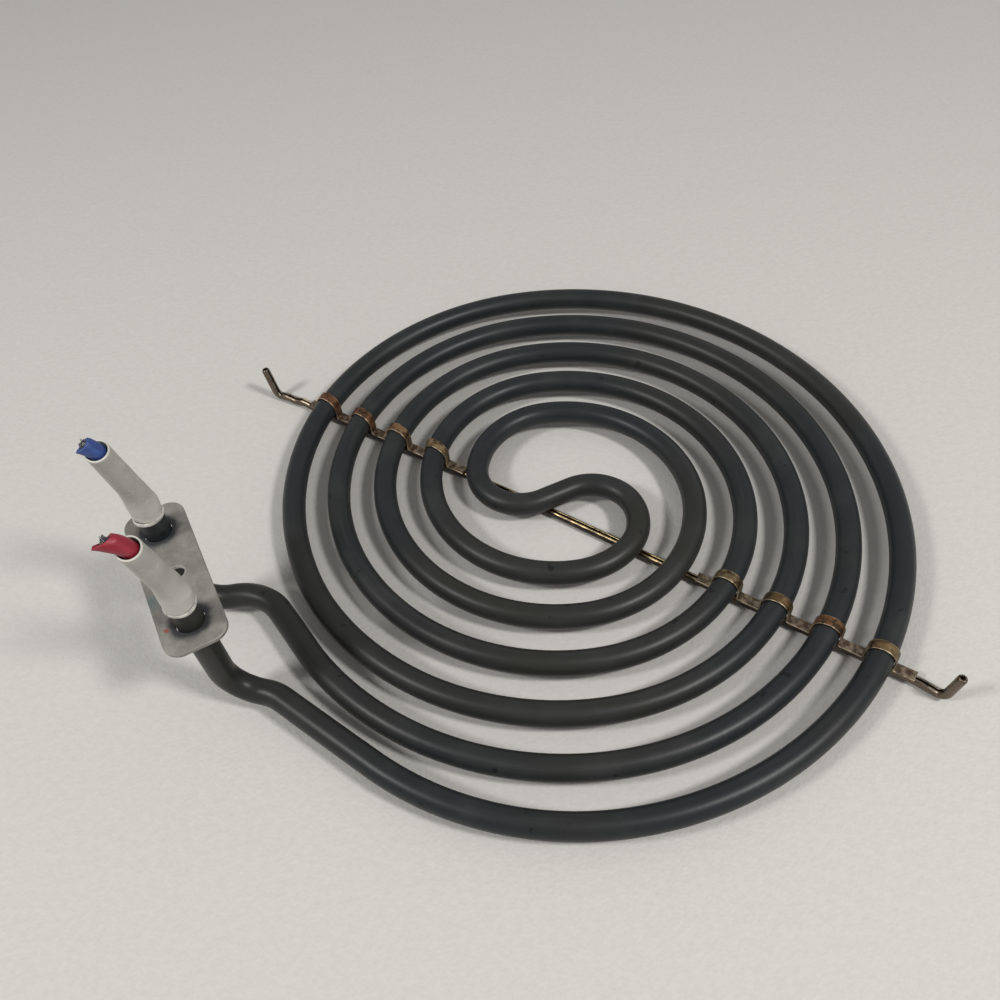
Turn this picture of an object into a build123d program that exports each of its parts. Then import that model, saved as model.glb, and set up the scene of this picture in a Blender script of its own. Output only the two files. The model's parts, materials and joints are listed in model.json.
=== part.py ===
from build123d import *
import math
import os

# A sheathed heating coil: one tube bent as a flat double spiral, whose two ends rise through a flange plate.
# It is worked out about the middle of the coil, with Z = 0 at the tube's centre line, and moved at the end
# to the frame of the flange plate: origin in the fixing hole at the plate's upper face, axes as they were.

# ---------------------------------------------------------------- driving dimensions, mm and degrees

# Sheath tube and its spiral of half turns
TUBE_OD = 8.0
TUBE_WALL = 0.8
COIL_PITCH = 16.4            # between neighbouring runs of tube
INNER_RADIUS = 27.9          # centre line of the smallest half turn
BLUE_HALF_TURNS = 5          # the last half turn of the arm that ends at the blue lead
RED_HALF_TURNS = 6           # the last half turn of the arm that ends at the red lead

# S bend in the middle of the coil
CROSSING_RUN = 10.7          # straight tube between the two lobes
LEFT_LOBE_START = 169.0      # where the left lobe leaves the smallest left half turn
RIGHT_LOBE_END = -46.0       # where the right lobe meets the smallest right half turn

# Run-outs from the coil to the legs
BLUE_EXIT_TIGHTER = 8.5      # how much less its radius is than the next half turn would have
BLUE_EXIT_TURN = 60.8
BLUE_EXIT_RUN = 17.8
BLUE_RETURN_TURN = 64.5
RED_EXIT_TIGHTER = 24.9
RED_EXIT_TURN = 43.0
RED_EXIT_RUN = 35.5
RED_RETURN_TURN = 23.0
RETURN_RADIUS = 16.0
LEG_BEND_RADIUS = 11.0
LEG_ABOVE_PLATE = 13.0       # bare tube end above the flange plate

# Flange plate
PLATE_LENGTH = 54.0
PLATE_WIDTH = 18.0
PLATE_THICKNESS = 1.2
PLATE_CORNER = 5.0
PLATE_EDGE_BREAK = 0.2
PLATE_HEIGHT = 38.2          # upper face above the tube's centre line
PLATE_HOLE_CLEARANCE = 0.15
FIXING_HOLE = 4.5
FIXING_HOLE_ASIDE = 1.0      # from the line through the legs

# Inside the tube
CORE_DIAMETER = 3.0          # the wound resistance wire and the terminal pins
CORE_CLEARANCE = 0.05
FILL_CLEARANCE = 0.05
SEAL_DEPTH = 5.0
SEAL_CROWN = 0.6
PIN_IN_TUBE = 24.0

# Crimp and lead of each terminal
PIN_IN_CRIMP = 4.5
CRIMP_OD = 4.8
CRIMP_LENGTH = 10.5
CRIMP_BORE_CLEARANCE = 0.05
STRANDS_IN_CRIMP = 4.5
STRANDS_DIAMETER = 2.5
INSULATION_OD = 4.3
INSULATION_GAP = 0.3         # bare strands between the crimp and the insulation
STRANDS_PROUD = 1.2
LEAD_BEND_RADIUS = 6.0
LEAD_BEND_IN_SLEEVE = 1.6    # the lead starts to bend this far inside the sleeve's mouth
BLUE_LEAD_BEND = 48.0
BLUE_LEAD_RUN = 0.4
RED_LEAD_BEND = 62.0
RED_LEAD_RUN = 1.3
LEAD_TOWARDS = 172.0         # compass direction in which the cut leads bend

# Sleeves
SLEEVE_WALL = 0.5
SLEEVE_NECK_BORE = 6.8       # just above the bend
SLEEVE_BORE = 6.2            # at the mouth
SLEEVE_ON_TUBE = 4.2         # how far the sleeve is pushed over the tube
SLEEVE_CLEARANCE = 0.05
SLEEVE_REACH = 31.0          # from the tube's end to the sleeve's mouth, along its axis
SLEEVE_LEAN = 16.0
SLEEVE_BEND_RADIUS = 34.0    # the bend above the tube, where the sleeve also narrows
SLEEVE_LEAN_TOWARDS = -86.0  # compass direction of the lean
SEALANT_WIDTH = 1.0
SEALANT_HEIGHT = 1.5
SEALANT_CLEARANCE = 0.05

# Support bar: a strip rolled to a C, slot upwards
BAR_DIAMETER = 3.0
BAR_WALL = 0.5
BAR_SLOT = 0.9
BAR_TUBE_GAP = 0.05
BAR_COMPASS = -39.8          # direction from the left end to the right end
BAR_OFFSET = -8.9            # from the coil's middle, square to the bar
BAR_LEFT_OVERHANG = 24.0     # from the outermost left loop to the corner of the turned-up end
BAR_RIGHT_OVERHANG = 19.0
BAR_BEND_RADIUS = 3.2
BAR_LEFT_TIP = 12.3          # from the corner to the end
BAR_LEFT_TIP_ANGLE = 73.0    # up from the bar
BAR_RIGHT_TIP = 10.7
BAR_RIGHT_TIP_ANGLE = 81.0

# Straps: a flat strip looped over each run of tube and spot-welded to the bar between the loops
STRAP_WIDTH = 3.5
STRAP_THICKNESS = 0.5
STRAP_TUBE_CLEARANCE = 0.06
STRAP_SEAT_CLEARANCE = 0.03
STRAP_BEND_RADIUS = 0.35     # inside of the foot bends
LEFT_STRAP_INNER_END = 13.0  # from the innermost loop's middle to the strap's end
LEFT_STRAP_OUTER_END = 9.1
RIGHT_STRAP_INNER_END = 9.9
RIGHT_STRAP_OUTER_END = 10.9
WELD_DIMPLE = 1.5
WELD_DIMPLE_DEPTH = 0.15
LEFT_LOOPS = (2, 3, 4, 5)    # half turns held by the left strap
RIGHT_LOOPS = (3, 4, 5, 6)   # half turns held by the right strap

UP = Vector(0, 0, 1)


def compass(angle):
    """The level unit vector at this angle from X towards Y."""
    return Vector(math.cos(math.radians(angle)), math.sin(math.radians(angle)), 0)


class BentPath:
    """A centre line of straight runs and tangent arcs, built from one end."""

    def __init__(self, start, heading):
        self.place = Vector(start)
        self.heading = Vector(heading).normalized()
        self.edges = []

    def straight(self, length):
        if length > 0:
            end = self.place + self.heading * length
            self.edges.append(Line(self.place, end))
            self.place = end
        return self

    def bend(self, radius, angle, towards):
        """Turn the heading by this angle towards a direction, on an arc of this radius."""
        side = (towards - self.heading * towards.dot(self.heading)).normalized()
        centre = self.place + side * radius

        def point(turn):
            turn = math.radians(turn)
            return centre - side * (radius * math.cos(turn)) + self.heading * (radius * math.sin(turn))

        end = point(angle)
        self.edges.append(ThreePointArc(self.place, point(angle / 2), end))
        turned = math.radians(angle)
        self.heading = self.heading * math.cos(turned) + side * math.sin(turned)
        self.place = end
        return self

    def right(self):
        return self.heading.cross(UP)

    def left(self):
        return self.heading.cross(UP) * -1


def swept(profile, edges):
    """A flat profile, drawn about the origin, carried along the edges of a path."""
    path = Wire(edges)
    start = Plane(origin=path @ 0, z_dir=path % 0)
    return sweep(start * profile, path=path)


def ring(outer, inner):
    """A ring section, given its two diameters."""
    return Circle(outer / 2) - Circle(inner / 2)


# ---------------------------------------------------------------- tube centre line

LEFT_CENTRE = Vector(0, COIL_PITCH / 2, 0)
RIGHT_CENTRE = Vector(0, -COIL_PITCH / 2, 0)
TUBE_BORE = TUBE_OD - 2 * TUBE_WALL
TUBE_TOP = PLATE_HEIGHT + LEG_ABOVE_PLATE


def half_turn_radius(number):
    return INNER_RADIUS + (number - 1) * COIL_PITCH


def lobe_size():
    """The radius of both lobes, such that the tangent between them is as long as the crossing run.

    A lobe of radius r lies r inside a half turn of radius R, so the step between the lobes' centres is a - r * q,
    where a is that step at r = 0. Its square is (2 * r) ** 2 plus the run's square: a quadratic in r.
    """
    q = compass(RIGHT_LOBE_END) - compass(LEFT_LOBE_START)
    a = RIGHT_CENTRE - LEFT_CENTRE + q * INNER_RADIUS
    square = q.dot(q) - 4
    return (a.dot(q) - math.sqrt(a.dot(q) ** 2 - square * (a.dot(a) - CROSSING_RUN**2))) / square


def add_s_bend(path):
    """From the top of the smallest left half turn, round both lobes, to the bottom of the coil's middle."""
    lobe = lobe_size()
    left_lobe = LEFT_CENTRE + compass(LEFT_LOBE_START) * (INNER_RADIUS - lobe)
    right_lobe = RIGHT_CENTRE + compass(RIGHT_LOBE_END) * (INNER_RADIUS - lobe)
    between = right_lobe - left_lobe
    lean = math.degrees(math.asin(2 * lobe / between.length))
    crossing = math.degrees(math.atan2(between.Y, between.X)) + lean
    left_lobe_turn = crossing - 90 - (LEFT_LOBE_START - 360)
    right_lobe_turn = crossing + 90 - RIGHT_LOBE_END
    path.bend(INNER_RADIUS, LEFT_LOBE_START - 90, path.left())
    path.bend(lobe, left_lobe_turn, path.left())
    path.straight(CROSSING_RUN)
    path.bend(lobe, right_lobe_turn, path.right())
    path.bend(INNER_RADIUS, RIGHT_LOBE_END + 90, path.right())


def add_leg(path, exit_radius, exit_turn, exit_run, return_turn, top):
    """Leave the coil on a tighter arc, turn outwards, and rise to this height."""
    path.bend(exit_radius, exit_turn, path.right())
    path.straight(exit_run)
    path.bend(RETURN_RADIUS, return_turn, path.left())
    path.bend(LEG_BEND_RADIUS, 90, UP)
    path.straight(top - LEG_BEND_RADIUS)


def tube_arms(top):
    """The two arms of the tube, from the top of the coil's middle, with legs that end at this height."""
    start = LEFT_CENTRE + Vector(0, INNER_RADIUS, 0)
    blue = BentPath(start, (-1, 0, 0))
    add_s_bend(blue)
    for number in range(2, BLUE_HALF_TURNS + 1):
        blue.bend(half_turn_radius(number), 180, blue.right())
    blue_exit = half_turn_radius(BLUE_HALF_TURNS + 1) - BLUE_EXIT_TIGHTER
    add_leg(blue, blue_exit, BLUE_EXIT_TURN, BLUE_EXIT_RUN, BLUE_RETURN_TURN, top)
    red = BentPath(start, (1, 0, 0))
    for number in range(2, RED_HALF_TURNS + 1):
        red.bend(half_turn_radius(number), 180, red.right())
    red_exit = half_turn_radius(RED_HALF_TURNS + 1) - RED_EXIT_TIGHTER
    add_leg(red, red_exit, RED_EXIT_TURN, RED_EXIT_RUN, RED_RETURN_TURN, top)
    return blue, red


def tube_edges(top):
    blue, red = tube_arms(top)
    return red.edges[::-1] + blue.edges


blue_arm, red_arm = tube_arms(TUBE_TOP)
LEG_TOPS = {"blue": blue_arm.place, "red": red_arm.place}

# ---------------------------------------------------------------- tube, powder and resistance wire

sheath_tube = swept(ring(TUBE_OD, TUBE_BORE), tube_edges(TUBE_TOP))
magnesia_fill = swept(
    ring(TUBE_BORE - 2 * FILL_CLEARANCE, CORE_DIAMETER + 2 * CORE_CLEARANCE), tube_edges(TUBE_TOP - SEAL_DEPTH)
)
resistance_coil = swept(Circle(CORE_DIAMETER / 2), tube_edges(TUBE_TOP - PIN_IN_TUBE))


# ---------------------------------------------------------------- terminals

SLEEVE_SIDE = compass(SLEEVE_LEAN_TOWARDS)
LEAD_SIDE = compass(LEAD_TOWARDS)
SLEEVE_BEND_LENGTH = math.radians(SLEEVE_LEAN) * SLEEVE_BEND_RADIUS
SLEEVE_SOCKET_BORE = TUBE_OD + 2 * SLEEVE_CLEARANCE
CRIMP_START = SLEEVE_BEND_LENGTH
PIN_LENGTH_OUT = CRIMP_START + PIN_IN_CRIMP
STRANDS_START = CRIMP_START + CRIMP_LENGTH - STRANDS_IN_CRIMP
INSULATION_START = CRIMP_START + CRIMP_LENGTH + INSULATION_GAP


def terminal_path(leg_top):
    """The centre line that leaves a leg and leans over; the caller adds what follows."""
    return BentPath(leg_top, UP).bend(SLEEVE_BEND_RADIUS, SLEEVE_LEAN, SLEEVE_SIDE)


def terminal_axis(leg_top, distance):
    """A straight path that starts this far along the leaning part."""
    path = terminal_path(leg_top)
    return BentPath(path.place + path.heading * (distance - SLEEVE_BEND_LENGTH), path.heading)


def make_pin(leg_top):
    path = BentPath(leg_top - UP * PIN_IN_TUBE, UP).straight(PIN_IN_TUBE)
    path.bend(SLEEVE_BEND_RADIUS, SLEEVE_LEAN, SLEEVE_SIDE).straight(PIN_LENGTH_OUT - SLEEVE_BEND_LENGTH)
    return swept(Circle(CORE_DIAMETER / 2), path.edges)


def make_seal(leg_top):
    """A plug with a crowned top, round the pin."""
    bore = CORE_DIAMETER / 2 + CORE_CLEARANCE
    rim = TUBE_BORE / 2 - FILL_CLEARANCE
    with BuildSketch(Plane.XZ) as section:
        with BuildLine():
            Polyline((bore, SEAL_CROWN), (bore, -SEAL_DEPTH), (rim, -SEAL_DEPTH), (rim, 0))
            ThreePointArc((rim, 0), ((rim + bore) / 2, SEAL_CROWN * 0.8), (bore, SEAL_CROWN))
        make_face()
    return Pos(*leg_top) * revolve(section.sketch, axis=Axis.Z)


def make_crimp(leg_top):
    """A barrel over the pin and the strands, pinched by two crimps."""
    barrel = swept(Circle(CRIMP_OD / 2), terminal_axis(leg_top, CRIMP_START).straight(CRIMP_LENGTH).edges)
    pin_bore = CORE_DIAMETER + 2 * CRIMP_BORE_CLEARANCE
    strand_bore = STRANDS_DIAMETER + 2 * CRIMP_BORE_CLEARANCE
    pin_run = terminal_axis(leg_top, CRIMP_START).straight(CRIMP_LENGTH - STRANDS_IN_CRIMP)
    strand_run = terminal_axis(leg_top, STRANDS_START).straight(STRANDS_IN_CRIMP)
    return barrel - swept(Circle(pin_bore / 2), pin_run.edges) - swept(Circle(strand_bore / 2), strand_run.edges)


def lead_path(leg_top, start, bend, run):
    """The lead from a distance along the sleeve, out of its mouth and over to the side."""
    path = terminal_axis(leg_top, start)
    path.straight(SLEEVE_REACH - LEAD_BEND_IN_SLEEVE - start)
    return path.bend(LEAD_BEND_RADIUS, bend, LEAD_SIDE).straight(run)


def make_insulation(leg_top, bend, run):
    path = lead_path(leg_top, INSULATION_START, bend, run)
    bore = STRANDS_DIAMETER + 2 * CRIMP_BORE_CLEARANCE
    return swept(ring(INSULATION_OD, bore), path.edges)


def make_strands(leg_top, bend, run):
    path = lead_path(leg_top, STRANDS_START, bend, run + STRANDS_PROUD)
    return swept(Circle(STRANDS_DIAMETER / 2), path.edges)


def make_sleeve(leg_top):
    """A soft sleeve, stretched over the tube's end, that narrows as it leans over above it."""

    def body(socket, throat, mouth):
        socket_foot = Plane(origin=leg_top - UP * SLEEVE_ON_TUBE, z_dir=UP)
        stretched = extrude(socket_foot * Circle(socket / 2), SLEEVE_ON_TUBE)
        half_way = BentPath(leg_top, UP).bend(SLEEVE_BEND_RADIUS, SLEEVE_LEAN / 2, SLEEVE_SIDE)
        bend = terminal_path(leg_top)
        neck = loft(
            [
                Plane(origin=leg_top, z_dir=UP) * Circle(socket / 2),
                Plane(origin=half_way.place, z_dir=half_way.heading) * Circle((socket + throat) / 4),
                Plane(origin=bend.place, z_dir=bend.heading) * Circle(throat / 2),
            ]
        )
        upper = Solid.make_cone(
            throat / 2,
            mouth / 2,
            SLEEVE_REACH - SLEEVE_BEND_LENGTH,
            plane=Plane(origin=bend.place, z_dir=bend.heading),
        )
        return stretched + neck + upper

    wall = 2 * SLEEVE_WALL
    outside = body(SLEEVE_SOCKET_BORE + wall, SLEEVE_NECK_BORE + wall, SLEEVE_BORE + wall)
    return outside - body(SLEEVE_SOCKET_BORE, SLEEVE_NECK_BORE, SLEEVE_BORE)


def make_sealant(leg_top):
    """A rounded bead round the tube, under the sleeve's end."""
    bore = TUBE_OD / 2 + SEALANT_CLEARANCE
    rim = bore + SEALANT_WIDTH
    top = -SLEEVE_ON_TUBE - SEALANT_CLEARANCE
    foot = top - SEALANT_HEIGHT
    with BuildSketch(Plane.XZ) as section:
        with BuildLine():
            Polyline((bore, foot), (bore, top), (rim, top))
            ThreePointArc((rim, top), (bore + SEALANT_WIDTH * 0.8, (top + foot) / 2), (bore, foot))
        make_face()
    return Pos(*leg_top) * revolve(section.sketch, axis=Axis.Z)


# ---------------------------------------------------------------- flange plate

PLATE_MIDDLE = (LEG_TOPS["blue"] + LEG_TOPS["red"]) * 0.5
PLATE_AXIS = (LEG_TOPS["blue"] - LEG_TOPS["red"]).normalized()
PLATE_ACROSS = PLATE_AXIS.cross(UP)
LEG_SPACING = (LEG_TOPS["blue"] - LEG_TOPS["red"]).length
FIXING_POINT = Vector(PLATE_MIDDLE.X, PLATE_MIDDLE.Y, PLATE_HEIGHT) + PLATE_ACROSS * FIXING_HOLE_ASIDE


def make_flange_plate():
    seat = Plane(origin=(PLATE_MIDDLE.X, PLATE_MIDDLE.Y, PLATE_HEIGHT), x_dir=PLATE_AXIS, z_dir=UP)
    tube_hole = TUBE_OD + 2 * PLATE_HOLE_CLEARANCE
    outline = RectangleRounded(PLATE_LENGTH, PLATE_WIDTH, PLATE_CORNER)
    outline -= Pos(LEG_SPACING / 2, 0) * Circle(tube_hole / 2)
    outline -= Pos(-LEG_SPACING / 2, 0) * Circle(tube_hole / 2)
    outline -= Pos(0, -FIXING_HOLE_ASIDE) * Circle(FIXING_HOLE / 2)
    plate = extrude(seat * outline, -PLATE_THICKNESS)
    rim = plate.faces().sort_by(Axis.Z)[-1].outer_wire().edges()
    return chamfer(rim, PLATE_EDGE_BREAK)


# ---------------------------------------------------------------- support bar

BAR_ALONG = compass(BAR_COMPASS)
BAR_ACROSS = compass(BAR_COMPASS + 90)
BAR_TOP = -TUBE_OD / 2 - BAR_TUBE_GAP
BAR_MIDDLE = BAR_ACROSS * BAR_OFFSET + UP * (BAR_TOP - BAR_DIAMETER / 2)


def bar_crossing(side, number):
    """Where the bar runs under a half turn: the distance along the bar, and the tube's skew there."""
    centre = LEFT_CENTRE if side == "left" else RIGHT_CENTRE
    level = BAR_ACROSS * BAR_OFFSET
    along = (centre - level).dot(BAR_ALONG)
    aside = (centre - level).dot(BAR_ACROSS)
    half_chord = math.sqrt(half_turn_radius(number) ** 2 - aside ** 2)
    distance = along - half_chord if side == "left" else along + half_chord
    outward = (level + BAR_ALONG * distance - centre).normalized()
    skew = math.degrees(math.atan2(outward.dot(BAR_ACROSS), outward.dot(BAR_ALONG)))
    return distance, skew - 180 * round(skew / 180)


def make_support_bar():
    """A strip rolled to a C and bent up at both ends, with its slot on the inside of the bends."""
    left_corner = bar_crossing("left", LEFT_LOOPS[-1])[0] - BAR_LEFT_OVERHANG
    right_corner = bar_crossing("right", RIGHT_LOOPS[-1])[0] + BAR_RIGHT_OVERHANG
    left_set = BAR_BEND_RADIUS * math.tan(math.radians(BAR_LEFT_TIP_ANGLE / 2))
    right_set = BAR_BEND_RADIUS * math.tan(math.radians(BAR_RIGHT_TIP_ANGLE / 2))
    lean = math.radians(BAR_LEFT_TIP_ANGLE)
    tip_heading = BAR_ALONG * math.cos(lean) - UP * math.sin(lean)
    path = BentPath(BAR_MIDDLE + BAR_ALONG * left_corner - tip_heading * BAR_LEFT_TIP, tip_heading)
    path.straight(BAR_LEFT_TIP - left_set)
    path.bend(BAR_BEND_RADIUS, BAR_LEFT_TIP_ANGLE, BAR_ALONG)
    path.straight(right_corner - left_corner - left_set - right_set)
    path.bend(BAR_BEND_RADIUS, BAR_RIGHT_TIP_ANGLE, UP)
    path.straight(BAR_RIGHT_TIP - right_set)
    slot_side = BAR_ALONG * math.sin(lean) + UP * math.cos(lean)
    section = ring(BAR_DIAMETER, BAR_DIAMETER - 2 * BAR_WALL)
    section -= Pos(BAR_DIAMETER / 2, 0) * Rectangle(BAR_DIAMETER, BAR_SLOT)
    start = Plane(origin=path.edges[0] @ 0, x_dir=slot_side, z_dir=tip_heading)
    return sweep(start * section, path=Wire(path.edges))


# ---------------------------------------------------------------- straps

STRAP_FOOT = BAR_TOP + STRAP_SEAT_CLEARANCE
TUBE_CURVES_AWAY = STRAP_WIDTH**2 / (2 * half_turn_radius(min(LEFT_LOOPS + RIGHT_LOOPS)))
LOOP_INSIDE = TUBE_OD / 2 + TUBE_CURVES_AWAY + STRAP_TUBE_CLEARANCE
LOOP_OUTSIDE = LOOP_INSIDE + STRAP_THICKNESS


def half_round(radius):
    """The area under a half circle about the tube's axis, down to the strap's foot."""
    top = Circle(radius) & Rectangle(2 * radius, radius, align=(Align.CENTER, Align.MIN))
    return top + Pos(0, STRAP_FOOT) * Rectangle(2 * radius, -STRAP_FOOT, align=(Align.CENTER, Align.MIN))


def loop_profile(reach):
    """The bent strip over one run of tube: flat feet, upright sides and a half-round top."""
    feet = Pos(0, STRAP_FOOT) * Rectangle(2 * reach, STRAP_THICKNESS, align=(Align.CENTER, Align.MIN))
    strip = half_round(LOOP_OUTSIDE) + feet - half_round(LOOP_INSIDE)

    def corners(half_width, height):
        return [v for v in strip.vertices() if abs(abs(v.X) - half_width) < 1e-4 and abs(v.Y - height) < 1e-4]

    strip = fillet(corners(LOOP_INSIDE, STRAP_FOOT), STRAP_BEND_RADIUS + STRAP_THICKNESS)
    return fillet(corners(LOOP_OUTSIDE, STRAP_FOOT + STRAP_THICKNESS), STRAP_BEND_RADIUS)


def foot_start(skew):
    """From a loop's middle, along the bar, to where the strap is flat over its whole width."""
    return (LOOP_OUTSIDE + STRAP_BEND_RADIUS) / math.cos(skew) + STRAP_WIDTH / 2 * math.tan(skew)


def make_strap(side, numbers, inner_end, outer_end):
    """One strip over several runs of tube. Each loop is bent square to its tube, which the bar crosses askew."""
    outwards = -1 if side == "left" else 1
    crossings = [bar_crossing(side, number) for number in numbers]
    begins = crossings[0][0] - outwards * inner_end
    ends = crossings[-1][0] + outwards * outer_end
    on_bar = Plane(origin=BAR_ACROSS * BAR_OFFSET, x_dir=BAR_ALONG, z_dir=UP)

    def strip(from_distance, to_distance, height):
        middle = (from_distance + to_distance) / 2
        foot = Pos(middle, 0, STRAP_FOOT)
        return on_bar * foot * Box(
            abs(to_distance - from_distance), STRAP_WIDTH, height, align=(Align.CENTER, Align.CENTER, Align.MIN)
        )

    loops = []
    flat_ends = [begins]
    for distance, skew in crossings:
        skewed = math.radians(abs(skew))
        clear = foot_start(skewed)
        reach = clear * math.cos(skewed) + STRAP_WIDTH * math.sin(skewed)
        outward = compass(BAR_COMPASS + skew)
        square = Plane(
            origin=BAR_ACROSS * BAR_OFFSET + BAR_ALONG * distance, x_dir=outward, z_dir=outward.cross(UP)
        )
        loops.append(extrude(square * loop_profile(reach), STRAP_WIDTH, both=True))
        flat_ends += [distance - outwards * clear, distance + outwards * clear]
    flat_ends.append(ends)

    flats = [strip(a, b, STRAP_THICKNESS) for a, b in zip(flat_ends[::2], flat_ends[1::2])]
    slab = strip(begins, ends, LOOP_OUTSIDE - STRAP_FOOT)
    strap = (loops[0] + loops[1:]) & slab
    strap = strap + flats

    dish = (WELD_DIMPLE**2 / 4 + WELD_DIMPLE_DEPTH**2) / (2 * WELD_DIMPLE_DEPTH)
    height = STRAP_FOOT + STRAP_THICKNESS + dish - WELD_DIMPLE_DEPTH
    for a, b in zip(flat_ends[::2], flat_ends[1::2]):
        strap -= on_bar * Pos((a + b) / 2, 0, height) * Sphere(dish)
    return strap


# ---------------------------------------------------------------- all pieces, in the frame of the flange plate

pieces = {
    "sheath_tube": sheath_tube,
    "magnesia_fill": magnesia_fill,
    "resistance_coil": resistance_coil,
    "flange_plate": make_flange_plate(),
    "support_bar": make_support_bar(),
    "strap_left": make_strap("left", LEFT_LOOPS, LEFT_STRAP_INNER_END, LEFT_STRAP_OUTER_END),
    "strap_right": make_strap("right", RIGHT_LOOPS, RIGHT_STRAP_INNER_END, RIGHT_STRAP_OUTER_END),
}
LEADS = {"blue": (BLUE_LEAD_BEND, BLUE_LEAD_RUN), "red": (RED_LEAD_BEND, RED_LEAD_RUN)}
for colour, (bend, run) in LEADS.items():
    top = LEG_TOPS[colour]
    pieces["terminal_pin_" + colour] = make_pin(top)
    pieces["end_seal_" + colour] = make_seal(top)
    pieces["crimp_" + colour] = make_crimp(top)
    pieces["wire_insulation_" + colour] = make_insulation(top, bend, run)
    pieces["wire_strands_" + colour] = make_strands(top, bend, run)
    pieces["sleeve_" + colour] = make_sleeve(top)
    pieces["sealant_bead_" + colour] = make_sealant(top)

to_plate = Location((-FIXING_POINT.X, -FIXING_POINT.Y, -FIXING_POINT.Z))
os.makedirs("parts", exist_ok=True)
for name, shape in pieces.items():
    export_step(to_plate * shape, "parts/" + name + ".step")
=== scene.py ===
import json
import math

import bmesh
import bpy
import numpy as np
from mathutils import Matrix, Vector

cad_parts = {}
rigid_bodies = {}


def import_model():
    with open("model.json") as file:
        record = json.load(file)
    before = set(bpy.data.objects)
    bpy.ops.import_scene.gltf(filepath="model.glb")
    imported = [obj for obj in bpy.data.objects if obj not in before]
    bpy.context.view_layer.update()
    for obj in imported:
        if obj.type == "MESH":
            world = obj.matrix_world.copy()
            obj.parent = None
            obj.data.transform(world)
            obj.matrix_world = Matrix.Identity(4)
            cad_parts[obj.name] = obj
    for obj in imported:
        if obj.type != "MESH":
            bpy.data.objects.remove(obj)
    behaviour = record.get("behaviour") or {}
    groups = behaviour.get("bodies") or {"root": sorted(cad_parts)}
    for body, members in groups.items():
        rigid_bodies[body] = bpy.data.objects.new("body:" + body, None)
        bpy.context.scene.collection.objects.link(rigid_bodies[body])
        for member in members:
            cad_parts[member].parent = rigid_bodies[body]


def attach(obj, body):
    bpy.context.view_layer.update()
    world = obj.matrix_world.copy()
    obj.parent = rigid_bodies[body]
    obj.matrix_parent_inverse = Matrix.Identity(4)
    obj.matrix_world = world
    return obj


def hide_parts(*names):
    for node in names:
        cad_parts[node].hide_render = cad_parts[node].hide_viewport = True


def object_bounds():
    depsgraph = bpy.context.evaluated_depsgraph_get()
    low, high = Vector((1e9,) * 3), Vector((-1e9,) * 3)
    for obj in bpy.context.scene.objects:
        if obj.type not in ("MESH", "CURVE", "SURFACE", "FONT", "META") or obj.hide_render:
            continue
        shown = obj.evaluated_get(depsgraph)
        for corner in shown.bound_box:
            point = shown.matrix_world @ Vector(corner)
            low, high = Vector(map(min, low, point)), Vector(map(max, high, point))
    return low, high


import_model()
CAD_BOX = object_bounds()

# A sheathed heating coil, worked out in millimetres about the middle of the coil, with Z = 0 at the tube's
# centre line, and moved to the frame of the flange plate's fixing hole as each mesh is made.

MM = 0.001
UP = np.array([0.0, 0.0, 1.0])

# Tube and spiral
TUBE_RADIUS = 4.0
TUBE_WALL = 0.8
TUBE_SIDES = 24
TUBE_STEP = 1.5
BORE_SPARSENESS = 3       # the bore has one ring for this many outside
COIL_PITCH = 16.4
INNER_RADIUS = 27.9
BLUE_HALF_TURNS = 5
RED_HALF_TURNS = 6
LOBE_RADIUS = 16.0
LEFT_LOBE_START = 169.0
RIGHT_LOBE_END = -46.0
BLUE_EXIT = dict(radius=101.4, turn=60.8, run=17.8, back=64.5)
RED_EXIT = dict(radius=101.4, turn=43.0, run=35.5, back=23.0)
RETURN_RADIUS = 16.0
LEG_BEND_RADIUS = 11.0
TUBE_TOP = 51.2
FINE_BEND_STEP = 0.8

# Where the hand-bent tube strays from its arcs: a place, the shift there, and its reach along X and Y
TUBE_STRAYS = (
    ((-93.5, 4.0), (0.6, 0.0), (7.0, 36.0)),
    ((27.0, -20.0), (-0.55, 0.15), (9.0, 9.0)),
    ((-107.0, -27.0), (0.1, -0.6), (15.0, 10.0)),
)
STRAY_CEILING = 12.0      # no stray shifts what is above this height

# Plate
PLATE_HEIGHT = 38.2
FIXING_HOLE_ASIDE = 1.0
FIXING_HOLE_RADIUS = 2.25
HALO_FADES = (6.0, 8.8)   # from a leg's middle
RED_SPECK = (-1.0, -19.2, 0.0)      # from the fixing hole, as is the smudge
BLUE_SMUDGE = (-6.0, -9.5, 0.0)

# Sleeves and leads
SLEEVE_ON_TUBE = 4.2
SLEEVE_LEAN = 16.0
SLEEVE_BEND_RADIUS = 34.0
SLEEVE_REACH = 31.0
SLEEVE_LEAN_TOWARDS = -86.0
SLEEVE_WALL = 0.45
SLEEVE_SIDES = 40
SLEEVE_RADII = (4.36, 4.36, 3.68, 3.4)      # at its foot, at the tube's end, above the bend, at its mouth
SLEEVE_INSET = 0.12       # keeps its unevenness within those radii
STRETCHED_REACH = 5.5     # its foot is lumpy up to about here
LUMP_HEIGHT = 0.09
SWELL_HEIGHT = 0.035      # of the slow waves further up
FOOT_RAGGED = 0.35
BULGE = dict(height=0.42, at=3.6, reach=2.6, towards=3.6)      # towards is in radians round the leg
LEAD_BEND_RADIUS = 6.0
LEAD_BEND_IN_SLEEVE = 1.6
LEAD_TOWARDS = 172.0
INSULATION_START = 20.3
STRANDS_START = 15.5
INSULATION_RADIUS = 2.4
INSULATION_SIDES = 36
INSULATION_INSET = 0.1
INSULATION_WOBBLE = 0.05
TORN_REACH = 2.5          # beyond the slant, over which a torn end is drawn back
TORN_SIDE = (0.0, 0.63, 0.77)
STRANDS_RADIUS = 1.25
STRANDS_LIFT = 0.55
FRAY_REACH = 1.6
FRAY_SPREAD = 0.18
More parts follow.
